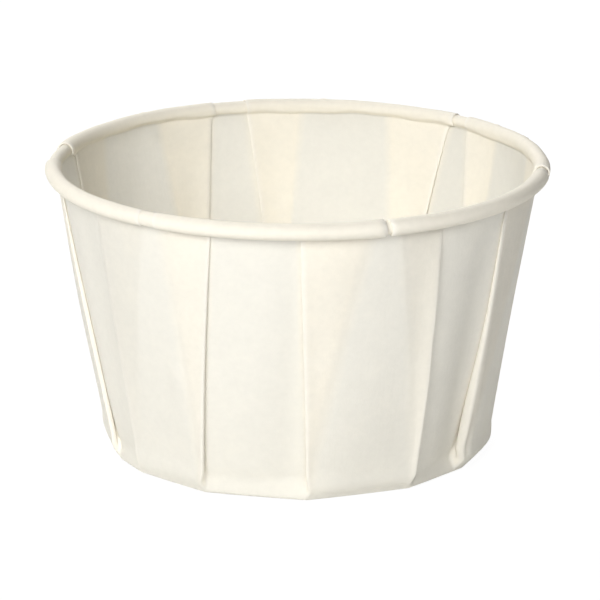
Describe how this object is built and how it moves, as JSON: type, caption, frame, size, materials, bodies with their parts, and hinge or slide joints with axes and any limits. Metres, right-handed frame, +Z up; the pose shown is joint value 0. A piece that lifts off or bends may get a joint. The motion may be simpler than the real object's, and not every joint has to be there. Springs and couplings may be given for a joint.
{
  "type": "paper portion cup",
  "caption": "Small pleated paper cup with a flat base, a flared wall of box pleats and a rim rolled outward, for sauces and small food portions.",
  "frame": {"origin": "centre of the flat base, on the table", "axes": "+Z up out of the open mouth, -Y toward the front of the picture, +X to its right"},
  "size_m": [0.0732, 0.0732, 0.0428],
  "materials": {
    "cup": "matte"
  },
  "bodies": {
    "root": {"cup": "cup"}
  },
  "joints": []
}
